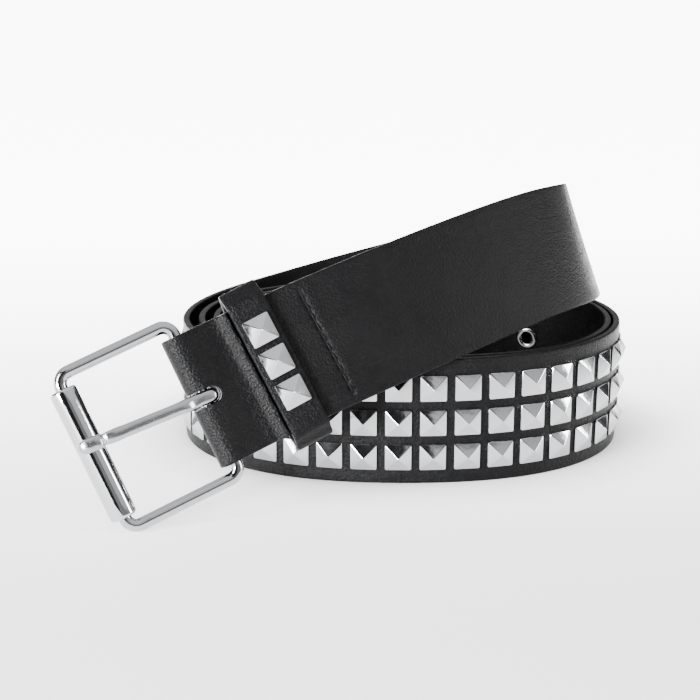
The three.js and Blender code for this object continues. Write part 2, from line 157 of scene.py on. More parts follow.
# %% The coil, and the strap's directions
# Between pairs of angles in degrees: studs under the leather, plain leather, then both studs
# and eyelets.
angle = np.arange(180, 1080, 1.0)
studded = strap_thickness + stud_height + stud_clearance
plain = strap_thickness + plain_gap
eyed = strap_thickness + eyelet_room
inset = (
    studded * soft_step(392, 432, angle)
    + (plain - studded) * soft_step(612, 648, angle)
    + (studded + eyed - plain) * soft_step(748, 788, angle)
)
turn = np.radians(angle)
radius = (coil_half_width + coil_half_depth) / 2 - inset
radius = radius + (coil_half_width - coil_half_depth) / 2 * np.cos(2 * turn)
coil_height = np.full(len(turn), strap_width / 2)
coil = np.stack([radius * np.cos(turn), radius * np.sin(turn), coil_height], axis=1)

route = np.vstack([raised, coil]) + belt_place
lean = np.concatenate([raised_lean, np.zeros(len(coil))])[:, None]
ahead = np.vstack([route[1:], route[-1:]])
behind = np.vstack([route[:1], route[:-1]])
route_along = unit(ahead - behind)
upright = unit(np.array([0, 0, 1]) - route_along * route_along[:, 2:])
route_up = upright * np.cos(lean) + np.cross(route_along, upright) * np.sin(lean)
route_distance = np.linalg.norm(route - behind, axis=1).cumsum()


def strap_at(distance):
    """Point, along, up and out of the strap at distances from the fold, each by linear
    interpolation between route places; out = along x up."""
    distance = np.asarray(distance, float)

    def between(columns):
        return np.stack(
            [np.interp(distance, route_distance, columns[:, k]) for k in range(3)], axis=-1
        )

    along = unit(between(route_along))
    out = unit(np.cross(along, between(route_up)))
    return between(route), along, np.cross(out, along), out


print("route:", round(route_distance[-1]), "mm, strap:", strap_length, "mm")

# %% [markdown]
# ## From a grid to a mesh
#
# Almost every piece here is a profile carried along a path: rows run along the path, columns
# go round the profile. One helper turns such a grid of points into a closed Blender mesh. It
# measures the volume that the faces enclose and turns them round if it is negative, so that
# every face looks outwards.


# %% Grid to mesh
def grid_quads(rows, columns, ring=False, first=0):
    """Corner numbers of the faces between neighbouring rows and columns. Columns always close
    on themselves, and rows do where ring is true."""
    numbers = first + np.arange(rows * columns).reshape(rows, columns)
    if ring:
        numbers = np.vstack([numbers, numbers[:1]])
    right = np.roll(numbers, -1, axis=1)
    corners = [numbers[:-1], right[:-1], right[1:], numbers[1:]]
    return np.stack([c.ravel() for c in corners], axis=1)


def enclosed(points, faces):
    """Volume inside quads: the sum of a . (b x c) / 6 over their triangles."""
    a, b, c, d = (points[faces[:, k]] for k in range(4))
    return (a * (np.cross(b, c) + np.cross(c, d))).sum() / 6


def new_piece(name, points, faces, caps=(), sharp=35):
    """A mesh object at the origin from points in millimetres, quads and flat end caps."""
    points = np.asarray(points, float).reshape(-1, 3)
    capped = [np.stack([np.full(len(cap) - 2, cap[0]), cap[1:-1], cap[2:], cap[2:]], 1) for cap in caps]
    turned = enclosed(points - points.mean(axis=0), np.vstack([faces, *capped])) < 0
    every = [*faces.tolist(), *(list(map(int, cap)) for cap in caps)]
    mesh = bpy.data.meshes.new(name)
    mesh.from_pydata((points * millimetre).tolist(), [], every)
    if turned:
        mesh.flip_normals()
    mesh.shade_smooth()
    mesh.set_sharp_from_angle(angle=np.radians(sharp))
    piece = bpy.data.objects.new(name, mesh)
    bpy.context.scene.collection.objects.link(piece)
    print(name, len(points), "points", len(every), "faces")
    return piece


# %% [markdown]
# ## The camera
#
# The photo was taken from a little above the belt, from the front. The camera comes early in
# the lesson. Its distance and its lens were worked out from the coil's oval and the strap's two
# edges.

# %% Camera
from mathutils import Vector

camera_target = Vector((-4.328, 6.621, 30.011)) * millimetre
camera_rise = np.radians(15.7)
camera_distance = 520 * millimetre
camera_data = bpy.data.cameras.new("camera")
camera_data.lens = 77.0
camera_data.sensor_width = 36
camera = bpy.data.objects.new("camera", camera_data)
towards = Vector((0, np.cos(camera_rise), -np.sin(camera_rise)))
camera.location = camera_target - towards * camera_distance
camera.rotation_euler = towards.to_track_quat("-Z", "Y").to_euler()
bpy.context.scene.collection.objects.link(camera)
bpy.context.scene.camera = camera
print("camera at", tuple(round(v, 3) for v in camera.location))

# %% [markdown]
# ## Colours and nodes
#
# Colours are given as the hex numbers that a screen shows. Shaders work with light, so one
# function turns a screen value into a linear one. One more helper adds a node of any kind, with
# its settings and its inputs, so that a material reads as a short list.


# %% Colour and node helpers
def linear(hexed):
    """Screen colour to linear light: v / 12.92 below 0.04045, else ((v + 0.055) / 1.055)^2.4."""
    screen = np.array([int(hexed[i : i + 2], 16) / 255 for i in (0, 2, 4)])
    light = np.where(screen <= 0.04045, screen / 12.92, ((screen + 0.055) / 1.055) ** 2.4)
    return (*light.tolist(), 1.0)


def add_node(material, kind, inputs=None, **settings):
    """A node of any kind. An input is a value, or another node's output to link."""
    node = material.node_tree.nodes.new(kind)
    for setting, value in settings.items():
        setattr(node, setting, value)
    for name, value in (inputs or {}).items():
        if isinstance(value, bpy.types.NodeSocket):
            material.node_tree.links.new(value, node.inputs[name])
        else:
            node.inputs[name].default_value = value
    return node


def new_material(name):
    """An empty node material and its output node."""
    material = bpy.data.materials.new(name)
    material.use_nodes = True
    material.node_tree.nodes.clear()
    return material, add_node(material, "ShaderNodeOutputMaterial")


# %% [markdown]
# ## Black coated leather
#
# The strap is split leather with a thin black polyurethane coat, embossed with a fine pebble
# grain. The coat gives a soft sheen, never a mirror: light breaks up on the grain. Cells about
# 0.7 mm wide make the pebbles, a finer noise roughens them, and a wide, weak noise makes the
# sheen uneven, as handling does.

# %% Leather material
leather, leather_out = new_material("black coated split leather, pebble grain")
where = add_node(leather, "ShaderNodeTexCoord").outputs["Object"]
pebbles = add_node(
    leather,
    "ShaderNodeTexVoronoi",
    {"Vector": where, "Scale": 1 / (0.72 * millimetre), "Smoothness": 0.35, "Randomness": 1.0},
    feature="SMOOTH_F1",
)
fine = add_node(
    leather,
    "ShaderNodeTexNoise",
    {"Vector": where, "Scale": 1 / (0.35 * millimetre), "Detail": 3.0, "Roughness": 0.6},
)
wide = add_node(
    leather,
    "ShaderNodeTexNoise",
    {"Vector": where, "Scale": 1 / (14 * millimetre), "Detail": 4.0, "Roughness": 0.55},
)
grain = add_node(
    leather,
    "ShaderNodeMath",
    {0: pebbles.outputs["Distance"], 1: 0.9, 2: fine.outputs["Fac"]},
    operation="MULTIPLY_ADD",
)
relief = add_node(
    leather,
    "ShaderNodeBump",
    {"Strength": 1.0, "Distance": 0.2 * millimetre, "Height": grain.outputs["Value"]},
)
sheen = add_node(
    leather,
    "ShaderNodeMapRange",
    {"Value": wide.outputs["Fac"], "From Min": 0.3, "From Max": 0.7, "To Min": 0.28, "To Max": 0.37},
)
tone = add_node(leather, "ShaderNodeValToRGB", {"Fac": wide.outputs["Fac"]})
for stop, place, shade in zip(tone.color_ramp.elements, (0.3, 0.75), ("040405", "080809")):
    stop.position, stop.color = place, linear(shade)
leather_shader = add_node(
    leather,
    "ShaderNodeBsdfPrincipled",
    {
        "Base Color": tone.outputs["Color"],
        "Roughness": sheen.outputs["Result"],
        "Normal": relief.outputs["Normal"],
        "Specular IOR Level": 0.1,
    },
)
leather.node_tree.links.new(leather_shader.outputs["BSDF"], leather_out.inputs["Surface"])
print(leather.name)

# %% [markdown]
# ## Nickel plate
#
# The studs, the frame, the roller and the prong are steel or zinc with a polished nickel plate.
# Plate is a thin film that follows the metal below it, so it is a mirror with a slight
# unevenness, and handling leaves hair scratches that blur it here and there. A metal shader
# with low roughness gives the mirror, and two noises vary it.


# %% Nickel material
def plated(name, shade, low, high, wave):
    """Polished plate: roughness runs from low to high over a noise, and wave is the depth of
    its unevenness in millimetres."""
    material, out = new_material(name)
    spot = add_node(material, "ShaderNodeTexCoord").outputs["Object"]
    blur = add_node(
        material,
        "ShaderNodeTexNoise",
        {"Vector": spot, "Scale": 1 / (3 * millimetre), "Detail": 5.0, "Roughness": 0.65},
    )
    rough = add_node(
        material,
        "ShaderNodeMapRange",
        {"Value": blur.outputs["Fac"], "From Min": 0.35, "From Max": 0.7, "To Min": low, "To Max": high},
    )
    slow = add_node(
        material, "ShaderNodeTexNoise", {"Vector": spot, "Scale": 1 / (2.2 * millimetre), "Detail": 1.0}
    )
    uneven = add_node(
        material,
        "ShaderNodeBump",
        {"Strength": 0.6, "Distance": wave * millimetre, "Height": slow.outputs["Fac"]},
    )
    shader = add_node(
        material,
        "ShaderNodeBsdfPrincipled",
        {
            "Base Color": linear(shade),
            "Metallic": 1.0,
            "Roughness": rough.outputs["Result"],
            "Normal": uneven.outputs["Normal"],
        },
    )
    material.node_tree.links.new(shader.outputs["BSDF"], out.inputs["Surface"])
    return material


stud_metal = plated("pressed steel studs, polished nickel plate", "b2b3b6", 0.08, 0.16, 0.07)
buckle_metal = plated("cast zinc buckle, polished nickel plate", "a6a7aa", 0.07, 0.14, 0.05)
prong_metal = plated("cast zinc prong, tumbled and nickel plated", "a2a3a6", 0.18, 0.28, 0.06)
roller_metal = plated("rolled steel tube, bright nickel plate", "bebfc2", 0.05, 0.10, 0.02)
eyelet_metal = plated("pressed brass eyelets, nickel plate", "c8c9cc", 0.10, 0.18, 0.04)
print("5 plated finishes")

# %% [markdown]
# ## The strap's cross-section
#
# The strap is cut from a flat hide, and its cut edges are rounded and dyed. Its section is a
# rectangle with rounded corners. More columns lie on the outer face, because what is sewn and
# pressed there shows, and most of them in its middle, where the prong's slot is cut.

# %% Section of the strap
edge_rounding = 0.55
close_columns = 4.2
corner_turn = np.linspace(0, np.pi / 2, 5)


def leather_section(width, thickness, outer_columns, inner_columns):
    """Heights across the strap and offsets out of it, once round a rounded rectangle."""
    half, face, r = width / 2, thickness / 2, edge_rounding
    middle = np.linspace(-close_columns, close_columns, 25)
    side = np.linspace(close_columns, half - r, outer_columns // 2)[1:]
    outer = np.concatenate([-side[::-1], middle, side])
    inner = np.linspace(half - r, -half + r, inner_columns)
    high, deep = half - r, face - r
    corners = [(high, deep, 0.5), (high, -deep, 0), (-high, -deep, -0.5), (-high, deep, -1)]
    heights, offsets = [outer[1:-1]], [np.full(len(outer) - 2, face)]
    for number, (across, level, start) in enumerate(corners):
        swing = start * np.pi - corner_turn
        heights.append(across + r * np.cos(swing))
        offsets.append(level + r * np.sin(swing))
        if number == 1:
            heights.append(inner[1:-1])
            offsets.append(np.full(inner_columns - 2, -face))
    return np.concatenate(heights), np.concatenate(offsets)


section_heights, section_offsets = leather_section(strap_width, strap_thickness, 26, 10)
print("section:", len(section_heights), "corners")

# %% [markdown]
# ## The fold, the flap and the strap
#
# At the buckle the strap is folded back round the bar and sewn down behind. So its path starts
# at the flap's cut end, runs to the bar, turns half round it and comes back as the front. The
# pieces of path are simply stacked, and the section is carried along all of it at once.

# %% Path of flap, fold and strap
wire_radius = 1.95
bar_clearance = 0.4
glue_gap = 0.3
flap_length = 49
fold_blend = 12
flap_rows = 45
fold_rows = 25
tip_rows = 22
fine_step = 0.4
fine_until = 52
coarse_step = 1.6
fold_radius = wire_radius + bar_clearance + strap_thickness / 2
bar_from_fold = fold_radius + strap_thickness / 2
flap_offset = strap_thickness + glue_gap
fold_swell = fold_radius - flap_offset / 2


def swell(distance):
    """How far the strap stands out of its own plane where it wraps the bar."""
    return fold_swell * (1 - soft_step(bar_from_fold, bar_from_fold + fold_blend, distance))


flap_distance = np.linspace(flap_length, bar_from_fold, flap_rows, endpoint=False)
point, along, up, out = strap_at(flap_distance)
flap_points = point - out * (flap_offset + swell(flap_distance))[:, None]
flap_out, flap_up = -out, up

bar_point, bar_along, bar_up, bar_out = strap_at(bar_from_fold)
bar_axis = bar_point - bar_out * flap_offset / 2
half_turn = np.linspace(-np.pi / 2, np.pi / 2, fold_rows)[:, None]
fold_out = -bar_along * np.cos(half_turn) + bar_out * np.sin(half_turn)
fold_points = bar_axis + fold_out * fold_radius
fold_up = np.repeat(bar_up[None], fold_rows, axis=0)

near = np.arange(bar_from_fold + fine_step, fine_until, fine_step)
far = np.arange(fine_until, strap_length - tip_taper, coarse_step)
tip_share = np.sin(np.linspace(0.02, 1, tip_rows) * np.pi / 2)
front_distance = np.concatenate([near, far, strap_length - tip_taper * (1 - tip_share)])
front_share = np.ones(len(front_distance))
front_share[-tip_rows:] = np.maximum(0.06, (1 - np.minimum(tip_share, 1) ** 2.2) ** (1 / 2.2))
point, along, up, out = strap_at(front_distance)
front_points = point + out * swell(front_distance)[:, None]
print("bar at", bar_axis.round(2), "front rows:", len(front_distance))

# %% [markdown]
# The face of the strap isn't quite flat near the keeper. Below the loop the strap is doubled and
# bunched, so it climbs to the keeper's edge in a slope about 4 mm long that catches the light.
# It sinks along the line of stitches that holds the flap, and a pressed rim runs round the slot.
# All are added as a small height over the outer face, before the mesh is made.

# %% Sizes of the keeper, the prong and its slot
keeper_width = 12
keeper_from_fold = 28.2
keeper_skew = np.radians(3)
prong_width = 4.2
prong_rise = 0.5
prong_eye = wire_radius + bar_clearance + 1
slot_half = prong_width / 2 + 0.5
slot_straight = prong_eye + 0.5 - np.sqrt(slot_half**2 - (prong_width / 2) ** 2)


# %% Relief of the strap's face
def stitch_line(height):
    """Distance from the fold of the line of stitches, which was sewn slightly askew."""
    return 44.75 - 1.45 * height / 17.25


def face_relief(distance, height):
    """Height in millimetres: a slope up to the keeper's skewed edge and a steep end at it, a
    groove under the stitches with a soft bulge beyond, each exp(-((d - middle) / width)^2), and
    a rim 0.8 mm wide round the slot, by the distance from the slot's outline."""
    beside = distance - (keeper_from_fold - keeper_width / 2 - height * np.tan(keeper_skew))
    slope = 1.35 * soft_step(-4.7, -0.9, beside) * (1 - soft_step(-0.6, 0.2, beside))
    beside = distance - stitch_line(height)
    sewn = 1 - soft_step(16.6, 18.6, np.abs(height))
    groove = -0.42 * np.exp(-((beside / 0.75) ** 2)) * sewn
    bulge = 0.1 * np.exp(-(((beside - 2.6) / 1.8) ** 2)) * sewn
    beyond = np.maximum(distance - bar_from_fold - slot_straight, 0)
    off_slot = np.hypot(beyond, height - prong_rise) - slot_half
    rim = 0.3 * np.exp(-(((off_slot - 0.45) / 0.42) ** 2))
    return slope + groove + bulge + rim


def carried(points, ups, outs, share, lift):
    """Section points in each row: point + up height share + out (offset + lift)."""
    across = section_heights[None, :, None] * share[:, None, None] * ups[:, None, :]
    return points[:, None, :] + across + outs[:, None, :] * lift[:, :, None]


outer_face = section_offsets > strap_thickness / 2 - 0.3
front_lift = section_offsets + outer_face * face_relief(front_distance[:, None], section_heights[None])
flap_lift = np.repeat(section_offsets[None], flap_rows, axis=0)
fold_lift = np.repeat(section_offsets[None], fold_rows, axis=0)
strap_grid = np.concatenate(
    [
        carried(flap_points, flap_up, flap_out, np.ones(flap_rows), flap_lift),
        carried(fold_points, fold_up, fold_out, np.ones(fold_rows), fold_lift),
        carried(front_points, up, out, front_share, front_lift),
    ]
)
count, columns = strap_grid.shape[:2]
last_row = (count - 1) * columns
strap_leather = new_piece(
    "strap_leather",
    strap_grid,
    grid_quads(count, columns),
    caps=[np.arange(columns), last_row + np.arange(columns)[::-1]],
    sharp=50,
)

# %% [markdown]
# ## Holes in the leather
#
# The prong needs a slot through the fold, and the strap's other end has five holes with metal
# eyelets. Punched holes are true cuts, so cutters are built and a Boolean takes them away once.
# The cutters are deleted afterwards.

# %% Places of the buckle and the eyelets
# The bar's axis, then the ways to the roller, along the bar and out of the strap.
buckle = bar_axis, -bar_along, -bar_up, bar_out
eyelet_count = 5
eyelet_pitch = 25
eyelet_from_tip = 87
eyelet_places = strap_length - eyelet_from_tip - eyelet_pitch * np.arange(eyelet_count)
eyelet_bore = 2.2
eyelet_flange = 3.9
eyelet_barrel = eyelet_bore + 0.6
eyelet_hole = eyelet_barrel + 0.3
eyelet_flat = eyelet_flange + 0.5
eyelet_rise = 1.5


def placed(points, origin, x, y, z):
    """Own coordinates turned into the belt's: origin + px x + py y + pz z."""
    points = np.asarray(points, float)
    return origin + points[..., :1] * x + points[..., 1:2] * y + points[..., 2:] * z


def prism(outline, low, high):
    """Two rings of an outline, at two heights, as rows of a grid."""
    ring = np.column_stack([outline, np.zeros(len(outline))])
    return np.stack([ring + (0, 0, low), ring + (0, 0, high)])


def eyelet_frame(distance):
    """Origin and directions of an eyelet, halfway between the sections beside it."""
    before, after = strap_at(distance - eyelet_flat), strap_at(distance + eyelet_flat)
    forward = unit(after[0] - before[0])
    middle = (before[0] + after[0]) / 2 + before[2] * eyelet_rise
    return middle, forward, before[2], np.cross(forward, before[2])


# %% Cut the slot and the holes
arc = np.linspace(np.pi / 2, 1.5 * np.pi, 17)
slot_end = np.column_stack([-slot_straight + slot_half * np.cos(arc), slot_half * np.sin(arc)])
past_fold = bar_from_fold + 2
slot_outline = np.vstack([slot_end, [[past_fold, -slot_half], [past_fold, slot_half]]])
slot_outline[:, 1] -= prong_rise
round_turn = np.linspace(0, 2 * np.pi, 32, endpoint=False)
hole_outline = eyelet_hole * np.column_stack([np.cos(round_turn), np.sin(round_turn)])
through_fold, through_strap = 9, 3
slot_prism = prism(slot_outline, -through_fold, through_fold)
hole_prism = prism(hole_outline, -through_strap, through_strap)
cutters = [placed(slot_prism, *buckle)]
for distance in eyelet_places:
    cutters.append(placed(hole_prism, *eyelet_frame(distance)))
cut_points, cut_faces, cut_caps, first = [], [], [], 0
for cutter in cutters:
    size = cutter.shape[1]
    cut_points.append(cutter.reshape(-1, 3))
    cut_faces.append(grid_quads(2, size, first=first))
    cut_caps += [first + np.arange(size)[::-1], first + size + np.arange(size)]
    first += 2 * size
cutter_piece = new_piece("hole_cutters", np.vstack(cut_points), np.vstack(cut_faces), caps=cut_caps)

cut = strap_leather.modifiers.new("holes", "BOOLEAN")
cut.operation = "DIFFERENCE"
cut.solver = "EXACT"
cut.object = cutter_piece
bpy.context.view_layer.update()
cut_strap = strap_leather.evaluated_get(bpy.context.evaluated_depsgraph_get())
finished = bpy.data.meshes.new_from_object(cut_strap)
strap_leather.modifiers.clear()
strap_leather.data = finished
bpy.data.objects.remove(cutter_piece)
finished.set_sharp_from_angle(angle=np.radians(50))
print("strap after cutting:", len(finished.polygons), "faces")

# %% Dress the strap
strap_leather.data.materials.clear()
strap_leather.data.materials.append(leather)
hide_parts("strap")
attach(strap_leather, "belt")

# %% [markdown]
# ## Pyramid studs
#
# Each stud is pressed from sheet steel: a square cup with a low rim and four flat facets that
# meet in a point. A press can't make a knife edge, so each ridge is a narrow strip and each
# corner of the rim is slightly round. One stud is six rings of a dozen corners, few enough to
# repeat about two hundred times. All studs of the strap are one mesh.

# %% One stud
stud_side = 8.6
stud_rim = 0.7
stud_pitch = 10.9
row_pitch = 11.4
stud_row_shift = -0.25
plain_start = 185.7
stud_columns = 64
quarters = 4
ring_corners = 3 * quarters


def stud_ring(side, rounding, level):
    """Twelve corners of a square with its corners cut twice, at one height."""
    half = side / 2
    swing = np.radians([0, 45, 90])
    corners = []
    for quarter in range(quarters):
        away = np.radians(90 * quarter)
        a = half - rounding + rounding * np.cos(swing)
        b = half - rounding + rounding * np.sin(swing)
        x = a * np.cos(away) - b * np.sin(away)
        y = a * np.sin(away) + b * np.cos(away)
        corners.append(np.column_stack([x, y]))
    flat = np.vstack(corners)
    return np.column_stack([flat, np.full(ring_corners, level)])


stud_rings = np.stack(
    [
        stud_ring(stud_side - 0.3, 0.5, -0.35),
        stud_ring(stud_side, 0.55, 0.05),
        stud_ring(stud_side, 0.55, stud_rim - 0.2),
        stud_ring(stud_side - 0.28, 0.42, stud_rim + 0.02),
        stud_ring(0.34, 0.09, stud_height - 0.07),
        stud_ring(0.12, 0.03, stud_height),
    ]
)
stud_quads = grid_quads(len(stud_rings), ring_corners)
stud_corners = len(stud_rings) * ring_corners


def many_studs(name, origins, xs, ys, zs, metal):
    """One mesh of studs: every stud's rings placed by its own origin and directions."""
    own = stud_rings.reshape(1, -1, 3)
    points = placed(own, origins[:, None], xs[:, None], ys[:, None], zs[:, None])
    number = len(origins)
    shift = (np.arange(number) * stud_corners)[:, None, None]
    faces = (stud_quads[None] + shift).reshape(-1, 4)
    around = np.arange(ring_corners)
    caps = []
    for start in range(0, number * stud_corners, stud_corners):
        caps += [start + around[::-1], start + stud_corners - ring_corners + around]
    piece = new_piece(name, points, faces, caps=caps, sharp=28)
    piece.data.materials.append(metal)
    return piece


# %% Studs on the strap
stud_start = plain_start + stud_pitch * np.arange(stud_columns)
first_edge, second_edge = strap_at(stud_start), strap_at(stud_start + stud_side)
chord = unit(second_edge[0] - first_edge[0])
mean_up = unit(first_edge[2] + second_edge[2])
stud_out = unit(np.cross(chord, mean_up))
stud_up = np.cross(stud_out, chord)
mean_out = (first_edge[3] + second_edge[3]) / 2
face_middle = (first_edge[0] + second_edge[0]) / 2 + strap_thickness / 2 * mean_out
rows_up = (stud_row_shift + row_pitch * np.array([-1, 0, 1]))[:, None, None]
origins = (face_middle[None] + rows_up * stud_up[None]).reshape(-1, 3)
three_rows = [np.tile(way, (3, 1)) for way in (chord, stud_up, stud_out)]
strap_studs = many_studs("strap_studs", origins, *three_rows, stud_metal)
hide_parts("strap")
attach(strap_studs, "belt")

# %% [markdown]
# ## The keeper
#
# The keeper is a narrow strip of the same leather bent round strap and flap, with its cut edges
# rounded. It is a flat oval path with a small rounded rectangle carried round it, so its rows
# close on themselves. The oval's second half is its first half turned by 180 degrees.

# %% Keeper
keeper_thickness = 2.0
keeper_face_room = 0.35
keeper_side_room = 3.4
keeper_inner_depth = flap_offset + strap_thickness + 2 * keeper_face_room
keeper_depth = keeper_inner_depth + 2 * keeper_thickness
keeper_inner_height = strap_width + 2 * keeper_side_room
side_points = 24

keeper_point, keeper_along, keeper_up, keeper_out = strap_at(keeper_from_fold)
keeper_middle = keeper_point - keeper_out * flap_offset / 2
keeper_y = keeper_up * np.cos(keeper_skew) - keeper_along * np.sin(keeper_skew)
keeper_z = -keeper_along * np.cos(keeper_skew) - keeper_up * np.sin(keeper_skew)
path_radius = (keeper_inner_depth + keeper_thickness) / 2
straight = (keeper_inner_height - keeper_inner_depth) / 2
rise = np.linspace(-straight, straight, side_points)
swing = np.linspace(0, np.pi, 19)[1:-1]
round_end = np.column_stack([np.cos(swing), np.sin(swing)])
flat_side = np.column_stack([np.full(side_points, path_radius), rise])
half = np.vstack([flat_side, path_radius * round_end + (0, straight)])
half_ways = np.vstack([np.tile([1.0, 0.0], (side_points, 1)), round_end])
oval, outward = np.vstack([half, -half]), np.vstack([half_ways, -half_ways])


def rounded_rectangle(width, height, r, per_corner=4, per_side=5):
    """Points once round a rectangle with rounded corners, about its middle."""
    swing = np.linspace(0, np.pi / 2, per_corner)
    points = []
    for k, (sx, sy) in enumerate([(1, 1), (-1, 1), (-1, -1), (1, -1)]):
        a = swing + k * np.pi / 2
        middle = np.array([sx * (width / 2 - r), sy * (height / 2 - r)])
        points.append(middle + r * np.column_stack([np.cos(a), np.sin(a)]))
    closed = np.vstack(points)
    ahead = np.roll(closed, -1, axis=0)
    gaps = np.linalg.norm(ahead - closed, axis=1) > 1.3 * r
    parts = np.where(gaps, per_side, 1)
    return np.vstack([a + (b - a) * np.arange(n)[:, None] / n for a, b, n in zip(closed, ahead, parts)])


# Beyond the strap's edges the two sides of the loop lie almost on each other.
pinch_start, pinch_end = strap_width / 2 + 0.6, keeper_inner_height / 2 - 0.4
oval[:, 0] *= 1 - 0.5 * soft_step(pinch_start, pinch_end, np.abs(oval[:, 1]))

strip = rounded_rectangle(keeper_width, keeper_thickness, 0.6)
own = np.empty((len(oval), len(strip), 3))
own[..., 0] = oval[:, None, 0] + outward[:, None, 0] * strip[None, :, 1]
own[..., 1] = oval[:, None, 1] + outward[:, None, 1] * strip[None, :, 1]
own[..., 2] = strip[None, :, 0]
keeper_loop = new_piece(
    "keeper_loop",
    placed(own, keeper_middle, keeper_out, keeper_y, keeper_z),
    grid_quads(len(oval), len(strip), ring=True),
    sharp=50,
)
keeper_loop.data.materials.append(leather)
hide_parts("keeper")
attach(keeper_loop, "belt")

# %% [markdown]
# The keeper's three studs are the same pressed studs, a little closer together.

# %% Studs on the keeper
keeper_stud_pitch = 10.4
keeper_stud_lift = 1.2
stud_glue_gap = 0.3
ups = keeper_stud_lift + keeper_stud_pitch * np.array([1, 0, -1])[:, None]
foot = keeper_depth / 2 + stud_glue_gap
origins = keeper_middle + keeper_out * foot + ups * keeper_y
three_times = [np.tile(way, (3, 1)) for way in (-keeper_z, keeper_y, keeper_out)]
keeper_studs = many_studs("keeper_studs", origins, *three_times, stud_metal)
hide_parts("keeper_stud_1", "keeper_stud_2", "keeper_stud_3")
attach(keeper_studs, "belt")

# %% [markdown]
# ## The buckle's frame
#
# The frame is one round rod, cast as a rectangle with rounded corners. A circle carried round
# that path gives it. The path is built in the buckle's own plane: x from the bar to the roller,
# y along the bar.

# %% Frame
frame_reach = 36.3
frame_corner = 3.6
frame_side_room = 2.2
frame_half_height = strap_width / 2 + frame_side_room + wire_radius


def rounded_path(reach, half_height, r, per_corner, per_side):
    """Points and outward directions round a rectangle from x = 0 to reach."""
    pieces, ways = [], []
    swing = np.linspace(0, np.pi / 2, per_corner)
    right, high = reach - r, half_height - r
    corners = [(right, high, 0), (r, high, 1), (r, -high, 2), (right, -high, 3)]
    for k, (cx, cy, quarter) in enumerate(corners):
        a = swing + quarter * np.pi / 2
        way = np.column_stack([np.cos(a), np.sin(a)])
        pieces.append(np.array([cx, cy]) + r * way)
        ways.append(way)
        nx, ny, _ = corners[(k + 1) % 4]
        start, end = pieces[-1][-1], np.array([nx, ny]) + r * way[-1]
        share = np.linspace(0, 1, per_side + 2)[1:-1, None]
        pieces.append(start + (end - start) * share)
        ways.append(np.tile(way[-1], (per_side, 1)))
    return np.vstack(pieces), np.vstack(ways)


frame_line, frame_way = rounded_path(frame_reach, frame_half_height, frame_corner, 14, 20)
wire_sides = 32
wire_turn = np.linspace(0, 2 * np.pi, wire_sides, endpoint=False)
own = np.empty((len(frame_line), wire_sides, 3))
own[..., :2] = frame_line[:, None] + wire_radius * np.cos(wire_turn)[None, :, None] * frame_way[:, None]
own[..., 2] = wire_radius * np.sin(wire_turn)[None]
buckle_wire = new_piece(
    "buckle_wire",
    placed(own, *buckle),
    grid_quads(len(frame_line), wire_sides, ring=True),
)
buckle_wire.data.materials.append(buckle_metal)
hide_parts("buckle_frame")
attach(buckle_wire, "frame")

# %% [markdown]
# ## The roller
#
# The roller is a short tube that turns on the frame's outer side. Its ends are rounded inwards.
# A profile turned about its axis is the natural way to make it.

# %% Roller
roller_radius = 4.15
roller_end_room = 0.4
roller_half = frame_half_height - frame_corner - roller_end_room
roller_bore = wire_radius + bar_clearance
end_turn = np.linspace(0, np.pi / 2, 6)
bend = 0.9
bevel = 0.25
upper_radii = roller_radius - bend + bend * np.cos(end_turn)
upper_levels = roller_half - bend + bend * np.sin(end_turn)
upper = np.column_stack([upper_radii, upper_levels])
side_levels = np.linspace(-roller_half + bend, roller_half - bend, 12)[1:-1]
profile = np.vstack(
    [
        upper,
        [[roller_bore + bevel, roller_half], [roller_bore, roller_half - bevel]],
        [[roller_bore, -roller_half + bevel], [roller_bore + bevel, -roller_half]],
        upper[::-1] * (1, -1),
        np.column_stack([np.full(len(side_levels), roller_radius), side_levels]),
    ]
)


def turned(profile, sides):
    """Own points of a profile (radius, height) turned about the y axis: rows go round it."""
    a = np.linspace(0, 2 * np.pi, sides, endpoint=False)[:, None]
    radius, height = profile[None, :, 0], profile[None, :, 1]
    return np.stack([radius * np.cos(a), height + 0 * a, radius * np.sin(a)], axis=-1)


roller_sides = 64
own = turned(profile, roller_sides) + (frame_reach, 0, 0)
roller_tube = new_piece(
    "roller_tube",
    placed(own, *buckle),
    grid_quads(roller_sides, len(profile), ring=True),
)
roller_tube.data.materials.append(roller_metal)
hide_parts("roller")
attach(roller_tube, "roller")

# %% [markdown]
# ## The prong
#
# The prong is cast: an eye round the bar, a thick rounded shoulder where it leaves the slot, a
# slimmer flat shank, a shallow notch where it meets the roller, and a rounded tip that lies over
# the roller. A short table gives its top, its underside and its width at places along it, a
# smooth curve runs through them, and a rounded rectangle is carried along. The eye is a ring.

# %% Prong
# Place along the prong from the bar's axis, top, underside, width.
prong_table = np.array(
    [
        (-4.1, 2.20, 1.70, 1.2),
        (-3.9, 2.75, 1.35, 2.2),
        (-3.4, 3.30, 1.30, 3.1),
        (-2.6, 3.75, 1.50, 3.8),
        (-1.6, 4.05, 1.90, 4.1),
        (-0.5, 4.20, 2.40, 4.1),
        (1.5, 4.30, 2.45, 4.0),
        (3.5, 4.70, 2.70, 4.0),
        (5.2, 5.65, 3.10, 4.3),
        (6.8, 6.25, 3.40, 4.0),
        (9.0, 6.50, 3.70, 3.8),
        (14.0, 6.60, 4.10, 3.8),
        (24.0, 6.65, 4.35, 3.8),
        (30.2, 6.80, 4.45, 3.9),
        (31.1, 6.60, 4.45, 3.7),
        (31.8, 6.15, 4.45, 3.5),
        (32.8, 6.95, 4.45, 4.1),
        (35.6, 7.30, 4.45, 4.4),
        (37.6, 7.10, 4.48, 4.1),
        (38.9, 6.45, 4.60, 3.2),
        (39.6, 5.60, 5.00, 1.6),
    ]
)
